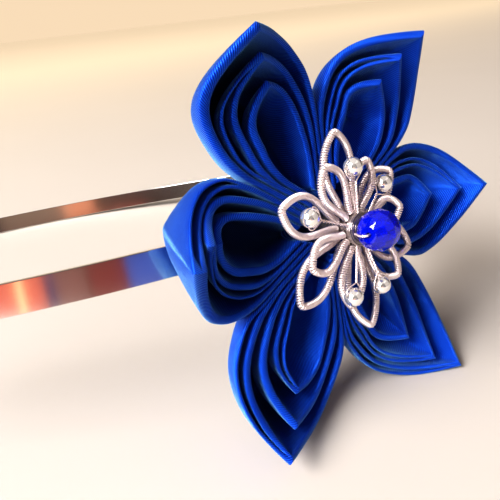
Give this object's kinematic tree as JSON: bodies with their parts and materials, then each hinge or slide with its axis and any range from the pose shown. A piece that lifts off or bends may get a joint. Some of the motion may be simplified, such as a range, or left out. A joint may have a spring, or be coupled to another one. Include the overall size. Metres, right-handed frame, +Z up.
{
  "type": "headband with a folded ribbon flower",
  "caption": "Thin metal headband with a folded satin ribbon flower on its side, and a rosette of coiled wire loops, small metal beads and a blue glass bead.",
  "frame": {"origin": "middle of the object's box, on the surface that the headband rests on", "axes": "+Z up from that surface; the flower's face looks along -Y, tipped a little up; +X from the near arm's end towards the crown"},
  "size_m": [0.159, 0.1814, 0.0728],
  "materials": {
    "polished_steel": "mirror polished",
    "satin_ribbon": "royal blue satin with a fine twill line",
    "felt": "dark blue felt",
    "post": "plain",
    "coiled_wire": "bright coiled wire",
    "silver_bead": "polished",
    "thin_wire": "bright",
    "blue_glass": "faceted and polished"
  },
  "bodies": {
    "root": {"headband": "polished_steel", "felt_backing": "felt", "petal_1_outer": "satin_ribbon", "petal_1_middle": "satin_ribbon", "petal_1_inner": "satin_ribbon", "petal_2_outer": "satin_ribbon", "petal_2_middle": "satin_ribbon", "petal_2_inner": "satin_ribbon", "petal_3_outer": "satin_ribbon", "petal_3_middle": "satin_ribbon", "petal_3_inner": "satin_ribbon", "petal_4_outer": "satin_ribbon", "petal_4_middle": "satin_ribbon", "petal_4_inner": "satin_ribbon", "petal_5_outer": "satin_ribbon", "petal_5_middle": "satin_ribbon", "petal_5_inner": "satin_ribbon", "petal_6_outer": "satin_ribbon", "petal_6_middle": "satin_ribbon", "petal_6_inner": "satin_ribbon", "rosette_post": "post", "wire_loop_1": "coiled_wire", "wire_loop_2": "coiled_wire", "wire_loop_3": "coiled_wire", "wire_loop_4": "coiled_wire", "wire_loop_5": "coiled_wire", "wire_loop_6": "coiled_wire", "wire_loop_7": "coiled_wire", "wire_loop_8": "coiled_wire", "wire_loop_9": "coiled_wire", "wire_loop_10": "coiled_wire", "wire_loop_11": "coiled_wire", "wire_loop_12": "coiled_wire", "silver_bead_1": "silver_bead", "silver_bead_2": "silver_bead", "silver_bead_3": "silver_bead", "silver_bead_4": "silver_bead", "silver_bead_5": "silver_bead", "bead_stem_1": "thin_wire", "bead_stem_2": "thin_wire", "bead_stem_3": "thin_wire", "bead_stem_4": "thin_wire", "bead_stem_5": "thin_wire", "glass_bead": "blue_glass", "glass_bead_wire": "thin_wire"}
  },
  "joints": []
}
